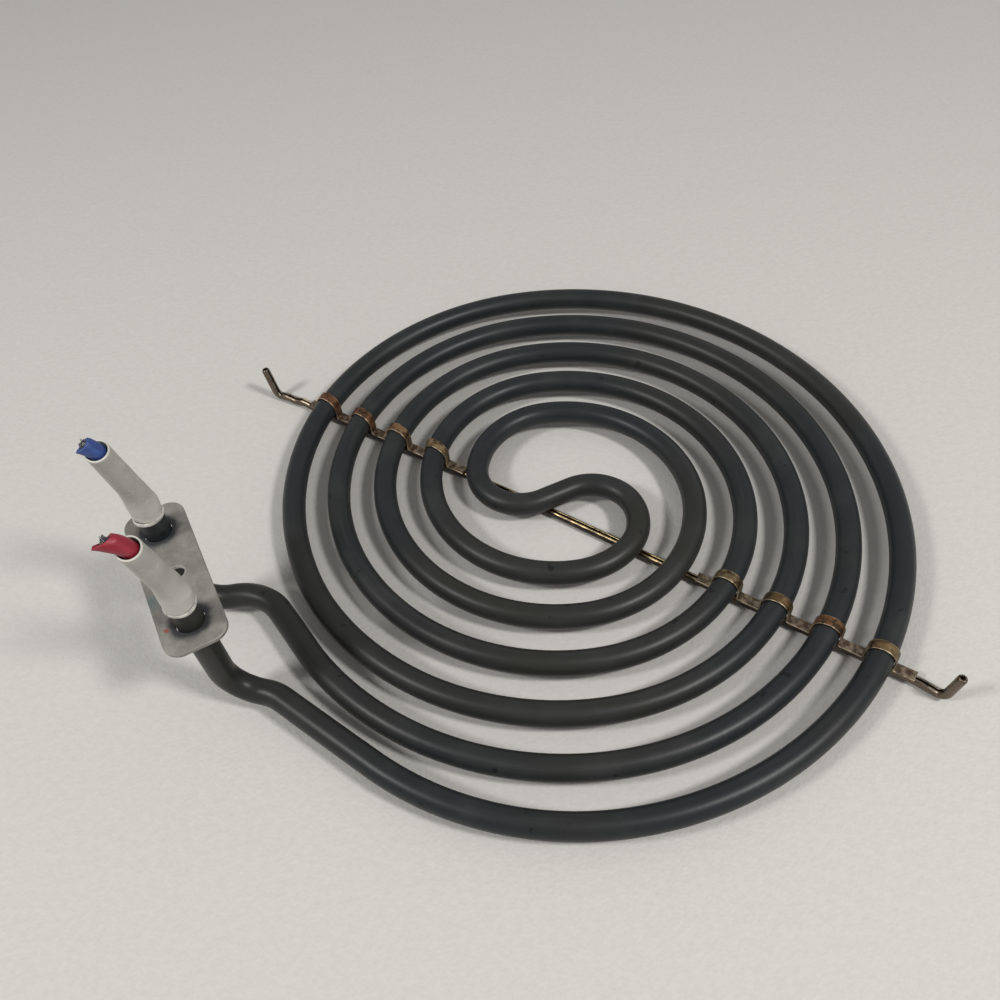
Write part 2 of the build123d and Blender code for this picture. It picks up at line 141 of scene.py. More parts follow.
FRAY_DRAWN_BACK = 0.9
LAY_TWIST = 0.35          # radians for each millimetre
LEADS = {
    "blue": dict(bend=48.0, run=1.2, slant=1.2, ragged=0.20, strands=-0.3),
    "red": dict(bend=63.0, run=3.2, slant=3.6, ragged=0.16, strands=-1.4),
}
SEALANT_HEIGHT = 1.23
SEALANT_WIDTH = 0.52
SEALANT_GAP = 0.06
SEALANT_SIDES = 72
SEALANT_ROUND = 12        # points across the half-round

# Support bar and straps
BAR_RADIUS = 1.5
BAR_WALL = 0.5
BAR_SLOT = 0.6
BAR_COMPASS = -39.8
BAR_OFFSET = -8.3
BAR_BOW = 1.05             # its middle lies this much further across
BAR_BOW_REACH = 55.0
BAR_HEIGHT = -5.55
BAR_BEND_RADIUS = 3.2
BAR_SIDEWAYS_RADIUS = 15.0
BAR_PAST_STRAP = 0.5      # straight bar past each strap's outer end
BAR_WAVER = 0.38          # of the left overhang, up and down
BAR_WAVER_TURN = 0.75     # radians for each millimetre
BAR_GREYS = (92, 118)     # from its middle, where its gold turns grey
BAR_PINCH = 0.9           # length of each pinched end
BAR_PINCHED = (0.72, 0.88, 0.95, 0.99)      # its size, row by row
BAR_ENDS = {
    "left": dict(sideways=7.0, overhang=14.2, tip=12.8, lean=80.0),
    "right": dict(sideways=8.5, overhang=6.3, tip=13.1, lean=84.0),
}
STRAP_WIDTH = 3.5
STRAP_THICKNESS = 0.5
STRAP_CORNER = 0.13
STRAP_FOOT = -4.02
STRAP_BEND_RADIUS = 0.35
STRAP_FLATS_END = (-3.3, -2.2)      # heights over which the grey of the flats gives way to the loops
TINTS_REACH = 130.0       # the straps' tints are placed over this much of the bar to each side
STRAP_TOE = 0.25          # level strip at each foot of a loop
LOOP_INSIDE = 4.2
FLAT_ROWS = 16
WELD_DEPTH = 0.10
WELD_RADIUS = 0.75
WELD_RIM = dict(height=0.03, at=1.0, width=0.2)
STRAPS = {
    "left": dict(loops=(2, 3, 4, 5), inner_end=12.3, outer_end=9.8),
    "right": dict(loops=(3, 4, 5, 6), inner_end=9.9, outer_end=10.9),
}

# Floor, lamps and camera
FLOOR_REACH = 3.0              # metres from the fixing hole
FLOOR_GAP = 0.2
LAMP_DISTANCE = 1.05           # metres from the coil's middle
LAMPS = {
    "right_lamp": dict(towards=(0.484, -0.396, 0.781), size=0.15, watts=6.2, colour=(1.0, 0.985, 0.96)),
    "left_lamp": dict(towards=(-0.667, -0.212, 0.713), size=0.17, watts=4.3, colour=(1.0, 0.99, 0.97)),
}
WORLD_COLOUR = (1.0, 0.985, 0.96, 1.0)
WORLD_STRENGTH = 0.38
CAMERA_AT = (-29.949, -201.122, 245.970)
CAMERA_DOWN = 50.9945          # degrees, as are the turn and the roll
CAMERA_TURN = -2.5107
CAMERA_ROLL = -5.9722
CAMERA_LENS = 32.93
SENSOR_WIDTH = 36.0
CLIP_START = 0.005

# ---------------------------------------------------------------- routes


def unit(vector):
    return vector / np.linalg.norm(vector)


def travelled(points):
    """The distance along a line of points, at each of them."""
    steps = np.linalg.norm(np.diff(points, axis=0), axis=1)
    return np.concatenate([[0.0], np.cumsum(steps)])


def compass(angle):
    """The level unit vector at this angle, in degrees, from X towards Y."""
    return np.array([math.cos(math.radians(angle)), math.sin(math.radians(angle)), 0.0])


class Route:
    """A centre line of straight runs and tangent arcs, as whole arrays, with a frame that never twists.

    On an arc of radius r that starts at P with heading h and bends towards s, the point at turn t is
    P + r * (s * (1 - cos t) + h * sin t). Its frame turns by t about the axis h x s.
    """

    def __init__(self, start, heading, across, step):
        self.step = step
        self.at = np.array(start, float)
        self.heading = unit(heading)
        self.across = unit(across)
        self.points = [self.at[None]]
        self.headings = [self.heading[None]]
        self.acrosses = [self.across[None]]

    def keep(self, points, headings, acrosses):
        self.points.append(points)
        self.headings.append(headings)
        self.acrosses.append(acrosses)
        self.at = points[-1]
        self.heading = headings[-1]
        self.across = acrosses[-1]
        return self

    def straight(self, length, step=None):
        count = max(1, round(length / (step or self.step)))
        share = np.linspace(0, 1, count + 1)[1:, None]
        same = np.ones_like(share)
        points = self.at + self.heading * length * share
        return self.keep(points, self.heading * same, self.across * same)

    def bend(self, radius, angle, towards, step=None):
        """An arc of this radius that turns by this many degrees towards a direction."""
        side = unit(towards - self.heading * towards.dot(self.heading))
        axis = np.cross(self.heading, side)
        turn = math.radians(angle)
        count = max(2, round(radius * turn / (step or self.step)))
        t = np.linspace(0, turn, count + 1)[1:, None]
        points = self.at + radius * (side * (1 - np.cos(t)) + self.heading * np.sin(t))
        headings = self.heading * np.cos(t) + side * np.sin(t)
        along_axis = axis * axis.dot(self.across)
        turning = self.across - along_axis
        acrosses = along_axis + turning * np.cos(t) + np.cross(axis, turning) * np.sin(t)
        return self.keep(points, headings, acrosses)

    def left(self):
        return np.cross(UP, self.heading)

    def right(self):
        return np.cross(self.heading, UP)

    def arrays(self):
        """Points, headings, directions across and upward, and the distance along, a row for each sample."""
        points, headings, acrosses = (np.concatenate(a) for a in (self.points, self.headings, self.acrosses))
        return points, headings, acrosses, np.cross(headings, acrosses), travelled(points)


LEFT_CENTRE = np.array([0, COIL_PITCH / 2, 0])
RIGHT_CENTRE = -LEFT_CENTRE


def half_turn_radius(number):
    return INNER_RADIUS + (number - 1) * COIL_PITCH


def run_out(route, way_out):
    """Leave the coil on a tighter arc, turn outwards, and rise to the terminal."""
    route.bend(way_out["radius"], way_out["turn"], route.right())
    route.straight(way_out["run"])
    route.bend(RETURN_RADIUS, way_out["back"], route.left(), FINE_BEND_STEP)
    route.bend(LEG_BEND_RADIUS, 90, UP, FINE_BEND_STEP)
    route.straight(TUBE_TOP - LEG_BEND_RADIUS)


def tube_arm(colour):
    """One arm of the tube from the top of the coil's middle: the blue one takes in the S bend."""
    start = LEFT_CENTRE + np.array([0, INNER_RADIUS, 0])
    if colour == "red":
        route = Route(start, compass(0), compass(90), TUBE_STEP)
        half_turns = RED_HALF_TURNS
    else:
        route = Route(start, compass(180), compass(270), TUBE_STEP)
        half_turns = BLUE_HALF_TURNS
        left_lobe = LEFT_CENTRE + compass(LEFT_LOBE_START) * (INNER_RADIUS - LOBE_RADIUS)
        right_lobe = RIGHT_CENTRE + compass(RIGHT_LOBE_END) * (INNER_RADIUS - LOBE_RADIUS)
        between = right_lobe - left_lobe
        distance = np.linalg.norm(between)
        crossing = math.degrees(math.atan2(between[1], between[0]) + math.asin(2 * LOBE_RADIUS / distance))
        route.bend(INNER_RADIUS, LEFT_LOBE_START - 90, route.left())
        route.bend(LOBE_RADIUS, crossing + 270 - LEFT_LOBE_START, route.left())
        route.straight(math.sqrt(distance**2 - 4 * LOBE_RADIUS**2))
        route.bend(LOBE_RADIUS, crossing + 90 - RIGHT_LOBE_END, route.right())
        route.bend(INNER_RADIUS, RIGHT_LOBE_END + 90, route.right())
    for number in range(2, half_turns + 1):
        route.bend(half_turn_radius(number), 180, route.right())
    run_out(route, RED_EXIT if colour == "red" else BLUE_EXIT)
    return route


def strayed(points):
    """The centre line with its strays: each shift fades away from its place, and up the legs."""
    points = points.copy()
    low = np.clip(1 - points[:, 2] / STRAY_CEILING, 0, 1) ** 2
    for place, shift, reach in TUBE_STRAYS:
        away = ((points[:, :2] - place) / reach) ** 2
        points[:, :2] += (low * np.exp(-away.sum(1) / 2))[:, None] * shift
    return points


LEG_TOPS = {colour: tube_arm(colour).at for colour in LEADS}
PLATE_AXIS = unit(LEG_TOPS["blue"] - LEG_TOPS["red"])
PLATE_ACROSS = np.cross(PLATE_AXIS, UP)
FIXING_POINT = (LEG_TOPS["blue"] + LEG_TOPS["red"]) / 2 + PLATE_ACROSS * FIXING_HOLE_ASIDE
FIXING_POINT[2] = PLATE_HEIGHT


def to_frame(points):
    """From millimetres about the coil's middle to metres in the frame of the fixing hole."""
    return (np.asarray(points) - FIXING_POINT) * MM


# ---------------------------------------------------------------- meshes


def grid_piece(name, node, points, finish, skin=None, caps=False, merge=False):
    """A piece whose surface is a grid of points: a row for each step along, a column for each step around.

    With caps, the first and the last row are closed by a face each. Without, the last row joins on to the
    first.
    """
    rows, columns = points.shape[:2]
    index = np.arange(rows * columns).reshape(rows, columns)
    here = index[:-1] if caps else index
    ahead = index[1:] if caps else np.roll(index, -1, axis=0)
    faces = faces_between(here, ahead)
    if caps:
        faces += [index[0, ::-1].tolist(), index[-1].tolist()]
    mesh = bpy.data.meshes.new(name)
    mesh.from_pydata(to_frame(points.reshape(-1, 3)).tolist(), [], faces)
    if skin is not None:
        layer = mesh.attributes.new("skin", "FLOAT_VECTOR", "POINT")
        layer.data.foreach_set("vector", (skin.reshape(-1, 3) * MM).astype(np.float32).ravel())
    if merge:
        shell = bmesh.new()
        shell.from_mesh(mesh)
        bmesh.ops.remove_doubles(shell, verts=shell.verts, dist=1e-7)
        bmesh.ops.dissolve_degenerate(shell, edges=shell.edges, dist=1e-8)
        shell.to_mesh(mesh)
        shell.free()
    finish_piece(name, node, mesh, finish)


def faces_between(here, ahead):
    """The faces between rings of points and the next rings, each ring's last point joined to its first.

    The rings run along a heading and their points turn from left to up, so this order faces outwards.
    """
    corners = (here, np.roll(here, -1, -1), np.roll(ahead, -1, -1), ahead)
    return np.stack(corners, axis=-1).reshape(-1, 4).tolist()


def finish_piece(name, node, mesh, finish):
    """Shade it smooth, give it its material and slot, and let it stand for its node."""
    mesh.shade_smooth()
    mesh.materials.append(finish)
    piece = bpy.data.objects.new(name, mesh)
    bpy.context.scene.collection.objects.link(piece)
    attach(piece, "root")
    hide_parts(node)


def carried(route, left, up):
    """A section carried along a route, and its skin: it lies this far left and up in each row and column."""
    points, _, acrosses, upwards, along = route
    surface = points[:, None] + left[..., None] * acrosses[:, None] + up[..., None] * upwards[:, None]
    return surface, np.stack(np.broadcast_arrays(along[:, None], left, up), axis=-1)


def carried_tube(route, outside, bore, rows_back=None):
    """A hollow tube's surface, its skin and its rows: out along the outer wall and back along the bore.

    outside and bore hold a radius for each row of the route and each step around it.
    """
    rows_out = np.arange(len(outside))
    rows_back = rows_out[::-1] if rows_back is None else rows_back
    rows = np.concatenate([rows_out, rows_back])
    radius = np.concatenate([outside, bore[rows_back]])
    angle = ring_angles(radius.shape[1])
    picked = tuple(part[rows] for part in route)
    surface, skin = carried(picked, radius * np.cos(angle), radius * np.sin(angle))
    return surface, skin, rows


def ring_angles(count):
    return np.linspace(0, 2 * np.pi, count, endpoint=False)


def hump(away, width, power=2):
    """A bell curve: 1 where away is 0, falling to almost 0 a few widths from there."""
    return np.exp(-((away / width) ** power))


def waves(seed, count, *phases):
    """Smooth random unevenness between about -1 and 1: sines of whole-number mixes of the phases, summed."""
    dice = np.random.default_rng(seed)
    total = 0.0
    for _ in range(count):
        mixed = sum(dice.integers(1, 4) * phase for phase in phases)
        total = total + np.sin(mixed + dice.uniform(0, 2 * np.pi))
    return total / math.sqrt(count)


# ---------------------------------------------------------------- shader maths


class Socket:
    """One output of a node. Python's operators on it add Math nodes to its finish."""

    def __init__(self, finish, output):
        self.finish = finish
        self.output = output

    def maths(self, operation, first, second=0.0):
        return self.finish.node("Math", {"operation": operation}, {0: first, 1: second})

    def __add__(self, other):
        return self.maths("ADD", self, other)

    def __sub__(self, other):
        return self.maths("SUBTRACT", self, other)

    def __rsub__(self, other):
        return self.maths("SUBTRACT", other, self)

    def __mul__(self, other):
        return self.maths("MULTIPLY", self, other)

    __radd__ = __add__

    def higher(self, other):
        return self.maths("MAXIMUM", self, other)

    def size(self):
        return self.maths("ABSOLUTE", self)

    def rise(self, low, high, start=0.0, end=1.0):
        """A smooth step from start to end as this value goes from low to high."""
        sockets = {"Value": self, "From Min": low, "From Max": high, "To Min": start, "To Max": end}
        return self.finish.node("MapRange", {"interpolation_type": "SMOOTHSTEP"}, sockets)


class Finish:
    """A material made of nodes."""

    def __init__(self, name):
        self.material = bpy.data.materials.new(name)
        self.material.use_nodes = True
        self.tree = self.material.node_tree
        self.tree.nodes.clear()

    def node(self, kind, settings=None, sockets=None, output=0):
        """Add a node of this kind, with its settings and a value or a link for each socket given."""
        made = self.tree.nodes.new("ShaderNode" + kind)
        for name, setting in (settings or {}).items():
            setattr(made, name, setting)
        for key, value in (sockets or {}).items():
            socket = made.inputs[key]
            if isinstance(value, Socket):
                self.tree.links.new(value.output, socket)
            elif isinstance(value, tuple) and len(value) == 3 and socket.type == "RGBA":
                socket.default_value = (*value, 1.0)
            else:
                socket.default_value = value
        return Socket(self, made.outputs[output])

    def place(self):
        """The point on the piece, in metres in the piece's own frame."""
        return self.node("TexCoord", output="Object")

    def skin(self):
        """The point on a carried surface as if its centre line were straight: along, then across and up."""
        settings = {"attribute_name": "skin", "attribute_type": "GEOMETRY"}
        return self.node("Attribute", settings, output="Vector")

    def stretched(self, vector, *factors):
        """The point scaled by a factor for each axis, which draws a noise out along the smallest."""
        return self.node("VectorMath", {"operation": "MULTIPLY"}, {0: vector, 1: factors})

    def towards(self, vector, direction):
        """How far the point lies in a direction."""
        sockets = {0: vector, 1: tuple(direction)}
        return self.node("VectorMath", {"operation": "DOT_PRODUCT"}, sockets, "Value")

    def gap(self, vector, point):
        """The distance from a point."""
        sockets = {0: vector, 1: tuple(point)}
        return self.node("VectorMath", {"operation": "DISTANCE"}, sockets, "Value")

    def part(self, vector, axis):
        return self.node("SeparateXYZ", None, {0: vector}, axis)

    def noise(self, vector, scale, detail, roughness, distortion=0.0):
        sockets = {"Vector": vector, "Scale": scale, "Detail": detail, "Roughness": roughness}
        return self.node("TexNoise", None, {**sockets, "Distortion": distortion}, "Fac")

    def cells(self, vector, scale):
        return self.node("TexVoronoi", None, {"Vector": vector, "Scale": scale}, "Distance")

    def blend(self, share, first, second):
        """A colour from the first to the second as the share goes from 0 to 1."""
        settings = {"data_type": "RGBA", "blend_type": "MIX", "clamp_factor": True}
        return self.node("Mix", settings, {0: share, 6: first, 7: second}, 2)

    def ramp(self, value, *stops):
        """A colour for each value, blended between stops of a position and a colour."""
        colour = self.node("ValToRGB", None, {0: value})
        elements = colour.output.node.color_ramp.elements
        while len(elements) < len(stops):
            elements.new(0.5)
        for element, (position, shade) in zip(elements, stops):
            element.position = position
            element.color = (*shade, 1.0)
        return colour

    def bumped(self, height, distance, strength):
        return self.node("Bump", None, {"Strength": strength, "Distance": distance, "Height": height})

    def shade(self, **sockets):
        """The surface itself, with a keyword for each socket, its spaces written as underscores."""
        named = {key.replace("_", " "): value for key, value in sockets.items()}
        shader = self.node("BsdfPrincipled", None, named)
        output = self.tree.nodes.new("ShaderNodeOutputMaterial")
        self.tree.links.new(shader.output, output.inputs["Surface"])
        return self.material


# ---------------------------------------------------------------- finishes


def oxidised_sheath():
    """Charcoal oxide: satin, olive in some places and slate blue in others, with faint streaks and pits."""
    f = Finish("oxidised_sheath")
    skin = f.skin()
    streaks = f.noise(f.stretched(skin, 22, 420, 420), 1.0, 4.0, 0.6)
    regions = f.noise(f.place(), 11.0, 2.0, 0.5)
    clouds = f.noise(f.place(), 60.0, 4.0, 0.6)
    grain = f.noise(f.stretched(skin, 900, 1500, 1500), 1.0, 2.0, 0.5)
    base = f.blend(regions.rise(0.40, 0.60), (0.0155, 0.0180, 0.0205), (0.0215, 0.0215, 0.0185))
    base = f.blend(clouds.rise(0.45, 0.75, 0, 0.7), base, (0.0290, 0.0305, 0.0310))
    base = f.blend(streaks.rise(0.52, 0.74, 0, 0.5), base, (0.034, 0.035, 0.036))
    pits = f.noise(f.place(), 210.0, 2.0, 0.5).rise(0.70, 0.745, 0.0, 0.8)
    base = f.blend(pits, base, (0.006, 0.006, 0.007))
    rough = 0.26 + clouds * 0.12 + grain * 0.05 + streaks * 0.10
    normal = f.bumped(grain * 0.5 + streaks * 0.5, 0.00006, 0.5)
    return f.shade(Base_Color=base, Metallic=0.0, Specular_IOR_Level=0.26, Roughness=rough, Normal=normal)


def along_bar(f):
    """The distance along the bar from its middle, in millimetres."""
    towards = compass(BAR_COMPASS)
    middle = to_frame(compass(BAR_COMPASS + 90) * BAR_OFFSET)
    return (f.towards(f.place(), towards) - float(middle.dot(towards))) * (1 / MM)


def heat_tinted_bar():
    """Steel with bright gold lips and dark slate sides whose darkness is painted shade, greyer and duller
    towards both ends.
    """
    f = Finish("heat_tinted_bar")
    place = f.place()
    skin = f.skin()
    far = along_bar(f).size()
    stain = f.noise(place, 230.0, 4.0, 0.6, 0.4)
    gold = f.blend(stain.rise(0.36, 0.64), (0.22, 0.155, 0.075), (0.56, 0.44, 0.24))
    grey = f.blend(stain.rise(0.36, 0.64), (0.13, 0.105, 0.085), (0.42, 0.37, 0.29))
    greyed = far.rise(*BAR_GREYS)
    lips = f.blend(greyed, gold, grey)
    # painted shade: the sides below the lips are painted dark, as where they face the shadowed floor
    shaded_sides = f.blend(greyed, (0.055, 0.046, 0.042), (0.17, 0.135, 0.105))
    shaded_sides = f.blend(stain.rise(0.45, 0.70, 0, 0.6), shaded_sides, (0.16, 0.125, 0.09))
    # by height: the gold lips above, the painted shade of the sides below
    height = f.part(skin, "Z") + stain * 0.0006
    base = f.blend(height.rise((BAR_RADIUS - 0.15) * MM, (BAR_RADIUS + 0.15) * MM), shaded_sides, lips)
    specks = f.noise(place, 900.0, 2.0, 0.6)
    base = f.blend(specks.rise(0.58, 0.70, 0, 0.7), base, (0.05, 0.035, 0.025))
    rough = 0.24 + stain * 0.25
    return f.shade(Base_Color=base, Metallic=1.0, Roughness=rough, Normal=f.bumped(specks, 0.00004, 0.6))


def heat_tinted_strap():
    """Strip steel tinted from gold to copper brown, with dark stains, mottled grey flats and a painted
    highlight along its top edges.
    """
    f = Finish("heat_tinted_strap")
    place = f.place()
    tint = f.ramp(
        (along_bar(f) + TINTS_REACH) * (1 / (2 * TINTS_REACH)),
        (0.13, (0.25, 0.115, 0.065)),
        (0.20, (0.30, 0.140, 0.070)),
        (0.28, (0.38, 0.250, 0.135)),
        (0.36, (0.47, 0.350, 0.190)),
        (0.72, (0.42, 0.325, 0.180)),
        (0.80, (0.17, 0.125, 0.063)),
        (0.88, (0.34, 0.165, 0.075)),
        (0.95, (0.27, 0.195, 0.100)),
    )
    stain = f.noise(place, 330.0, 4.0, 0.65, 0.6)
    base = f.blend(stain.rise(0.34, 0.60), (0.070, 0.050, 0.034), tint)
    height = f.part(place, "Z")
    low, high = (float(to_frame([0, 0, level])[2]) for level in STRAP_FLATS_END)
    flat = height.rise(low, high, 1.0, 0.0)
    mottle = f.noise(place, 480.0, 3.0, 0.55)
    grey = f.blend(mottle.rise(0.40, 0.66), (0.110, 0.082, 0.062), (0.42, 0.345, 0.26))
    base = f.blend(flat * 0.85, base, grey)
    skin = f.skin()
    side = STRAP_WIDTH / 2
    # painted highlight: the strip's top edges are painted lighter, broken up by the stains
    edge_highlight = f.part(skin, "Y").size().rise((side - 0.33) * MM, (side - 0.07) * MM)
    edge_highlight = edge_highlight * f.part(skin, "Z").rise(-0.1 * MM, 0.2 * MM)
    base = f.blend(edge_highlight * stain.rise(0.36, 0.56, 0.15, 0.75), base, (0.62, 0.53, 0.40))
    specks = f.noise(place, 1300.0, 2.0, 0.6)
    base = f.blend(specks.rise(0.60, 0.72, 0, 0.5), base, (0.04, 0.028, 0.02))
    rough = 0.25 + stain * 0.3
    normal = f.bumped(stain + mottle, 0.00008, 0.6)
    return f.shade(Base_Color=base, Metallic=1.0, Roughness=rough, Normal=normal)


def mottled_plate():
    """Warm grey sheet steel, mottled, with soft dark halos round the two tube holes, two stains and a
    painted highlight round the fixing hole.
    """
    f = Finish("mottled_plate")
    place = f.place()
    clouds = f.noise(place, 130.0, 5.0, 0.62, 0.3)
    fine = f.noise(place, 900.0, 3.0, 0.6)
    base = f.blend(clouds.rise(0.32, 0.68), (0.238, 0.232, 0.209), (0.345, 0.337, 0.303))
    base = f.blend(fine.rise(0.55, 0.75, 0, 0.6), base, (0.15, 0.145, 0.13))
    halos = []
    for top in LEG_TOPS.values():
        leg = to_frame(top) * np.array([1, 1, 0])
        ring = f.gap(place, leg) + f.noise(place, 240.0, 4.0, 0.65) * 0.0024
        halos.append(ring.rise(HALO_FADES[0] * MM, HALO_FADES[1] * MM, 0.97, 0.0))
    halo = halos[0].higher(halos[1])
    base = f.blend(halo, base, (0.016, 0.017, 0.022))
    # painted highlight: a thin light ring just round the fixing hole's edge
    edge = FIXING_HOLE_RADIUS * MM
    rim = f.gap(place, (0, 0, 0)).rise(edge + 0.05 * MM, edge + 0.35 * MM, 1.0, 0.0)
    base = f.blend(rim * 0.4, base, (0.75, 0.74, 0.72))
    red_speck = f.gap(place, np.array(RED_SPECK) * MM) + fine * 0.0008
    base = f.blend(red_speck.rise(0.0007, 0.0014, 0.8, 0.0), base, (0.30, 0.05, 0.03))
    blue_smudge = f.gap(place, np.array(BLUE_SMUDGE) * MM) + clouds * 0.003
    base = f.blend(blue_smudge.rise(0.0022, 0.0046, 0.7, 0.0), base, (0.16, 0.22, 0.235))
    rough = 0.46 + clouds * 0.18 + halo * 0.3
    metal = 0.55 - halo * 0.55
    return f.shade(Base_Color=base, Metallic=metal, Roughness=rough, Normal=f.bumped(fine, 0.00005, 0.5))


def soft_sleeving():
    """Milky grey-white silicone, with faint clouds, dusty at its stretched foot and bright at its mouth."""
    f = Finish("soft_sleeving")
    skin = f.skin()
    clouds = f.noise(f.place(), 120.0, 4.0, 0.6)
    base = f.blend(clouds.rise(0.34, 0.66), (0.375, 0.370, 0.335), (0.435, 0.430, 0.395))
    reach = f.part(skin, "X")
    base = f.blend(reach.rise(3 * MM, 10 * MM, 0.6, 0.0), base, (0.52, 0.515, 0.475))
    dust = f.noise(f.place(), 420.0, 4.0, 0.65).rise(0.56, 0.72, 0.0, 0.55)
    base = f.blend(dust, base, (0.58, 0.575, 0.54))
    mouth = SLEEVE_ON_TUBE + SLEEVE_REACH
    base = f.blend(reach.rise((mouth - 0.6) * MM, (mouth - 0.1) * MM, 0.0, 0.8), base, (0.66, 0.65, 0.59))
    fine = f.noise(f.place(), 700.0, 3.0, 0.6)
    normal = f.bumped(clouds + fine * 0.3, 0.0002, 0.5)
    return f.shade(Base_Color=base, Roughness=0.48 + clouds * 0.12, Specular_IOR_Level=0.4, Normal=normal)


def silicone(name, deep, bright):
    """Coloured silicone insulation: satin, with paler scuffs drawn along it."""
    f = Finish(name)
    scuffs = f.noise(f.stretched(f.skin(), 150, 900, 900), 1.0, 3.0, 0.6)
    clouds = f.noise(f.place(), 500.0, 2.0, 0.5)
    base = f.blend(scuffs.rise(0.45, 0.7), deep, bright)
    return f.shade(Base_Color=base, Roughness=0.36 + clouds * 0.2, Normal=f.bumped(scuffs, 0.0001, 0.5))


def tinned_strands():
    """Fine dull wire, darkened in places."""
    f = Finish("tinned_strands")
    dull = f.noise(f.place(), 900.0, 3.0, 0.6)
    base = f.blend(dull.rise(0.4, 0.65), (0.07, 0.07, 0.08), (0.40, 0.40, 0.38))
    return f.shade(Base_Color=base, Metallic=0.9, Roughness=0.35 + dull * 0.2)


def cured_sealant():
    """Grey-white paste, rough and a little dusty."""
    f = Finish("cured_sealant")
    lumps = f.noise(f.place(), 600.0, 4.0, 0.65)
    base = f.blend(lumps.rise(0.35, 0.65), (0.36, 0.355, 0.32), (0.56, 0.55, 0.51))
    return f.shade(Base_Color=base, Roughness=0.7 + lumps * 0.15, Normal=f.bumped(lumps, 0.0004, 0.7))


def hidden(name, dark, light, metallic, rough, scale):
    """A plainer finish, clouded between two colours, for what lies inside the tube and the sleeves."""
    f = Finish(name)
    clouds = f.noise(f.place(), scale, 3.0, 0.6)
    base = f.blend(clouds.rise(0.35, 0.65), dark, light)
    return f.shade(Base_Color=base, Metallic=metallic, Roughness=rough + clouds * 0.1)


# ---------------------------------------------------------------- pieces

SLEEVE_BEND_LENGTH = math.radians(SLEEVE_LEAN) * SLEEVE_BEND_RADIUS


def sheath_tube(finish):
    """The whole tube: a circle carried along both arms, out along the outer wall and back along the bore."""
    blue = tube_arm("blue").arrays()
    red = tube_arm("red").arrays()
    # the red arm is walked backwards, so its headings and level directions turn about
    points = strayed(np.concatenate([red[0][:0:-1], blue[0]]))
    headings = np.concatenate([-red[1][:0:-1], blue[1]])
    acrosses = np.concatenate([-red[2][:0:-1], blue[2]])
    route = (points, headings, acrosses, np.cross(headings, acrosses), travelled(points))
    outside = np.full((len(points), TUBE_SIDES), TUBE_RADIUS)
    every = np.arange(len(points))
    sparse = np.unique(np.concatenate([every[::BORE_SPARSENESS], every[-1:]]))[::-1]
    surface, skin, _ = carried_tube(route, outside, outside - TUBE_WALL, sparse)
    grid_piece("sheath", "sheath_tube", surface, finish, skin)


def bow(along):
    """How far the bar bows across at this distance along it: a bell curve about its middle."""
    return BAR_BOW * hump(along, BAR_BOW_REACH)


def bar_crossing(side, number):
    """Where the bar runs under a half turn: how far along the bar, and the tube's skew there in radians."""
    along = compass(BAR_COMPASS)
    across = compass(BAR_COMPASS + 90)
    centre = LEFT_CENTRE if side == "left" else RIGHT_CENTRE
    sign = -1 if side == "left" else 1
    distance = sign * half_turn_radius(number)
    # the bow depends on the distance, so the second round settles it
    for _ in range(2):
        level = across * (BAR_OFFSET + bow(distance))
        ahead = (centre - level).dot(along)
        aside = (centre - level).dot(across)
        distance = ahead + sign * math.sqrt(half_turn_radius(number) ** 2 - aside**2)
    outward = level + along * distance - centre
    return distance, math.atan(outward.dot(across) / outward.dot(along))


def bar_reach(side):
    """How far from the bar's middle its straight part ends on this side, a little past the strap."""
    last_loop = abs(bar_crossing(side, STRAPS[side]["loops"][-1])[0])
    return last_loop + STRAPS[side]["outer_end"] + BAR_PAST_STRAP


def bar_route():
    """The bar's centre line: bowed under the straps, bent a little aside and then up at both ends."""
    along = compass(BAR_COMPASS)
    across = compass(BAR_COMPASS + 90)
    left = BAR_ENDS["left"]
    right = BAR_ENDS["right"]
    left_set = BAR_BEND_RADIUS * math.tan(math.radians(left["lean"] / 2))
    right_set = BAR_BEND_RADIUS * math.tan(math.radians(right["lean"] / 2))
    level = compass(BAR_COMPASS + left["sideways"])
    lean = math.radians(left["lean"])
    route = Route((0, 0, 0), level * math.cos(lean) - UP * math.sin(lean), np.cross(UP, level), 1.5)
    route.straight(BAR_PINCH, BAR_PINCH / 3)
    route.straight(left["tip"] - left_set - BAR_PINCH)
    route.bend(BAR_BEND_RADIUS, left["lean"], level, 0.4)
    route.straight(left["overhang"] - left_set)
    route.bend(BAR_SIDEWAYS_RADIUS, left["sideways"], -across, 0.6)
    straight_start = route.at
    route.straight(bar_reach("left") + bar_reach("right"))
    route.bend(BAR_SIDEWAYS_RADIUS, right["sideways"], -across, 0.6)
    route.straight(right["overhang"] - right_set)
    route.bend(BAR_BEND_RADIUS, right["lean"], UP, 0.4)
    route.straight(right["tip"] - right_set - BAR_PINCH)
    route.straight(BAR_PINCH, BAR_PINCH / 3)
    points, headings, acrosses, upwards, travel = route.arrays()
    left_end = -bar_reach("left")
    points = points + across * BAR_OFFSET + UP * BAR_HEIGHT + along * left_end - straight_start
    reach = points @ along
    points = points + across * bow(reach)[:, None]
    # the left overhang was bent by hand, so it wavers up and down
    beyond = np.clip((left_end - reach) / 4, 0, 1)
    waver = beyond * BAR_WAVER * (1 + np.sin((left_end - reach) * BAR_WAVER_TURN - 0.6))
    return points + UP * waver[:, None], headings, acrosses, upwards, travel


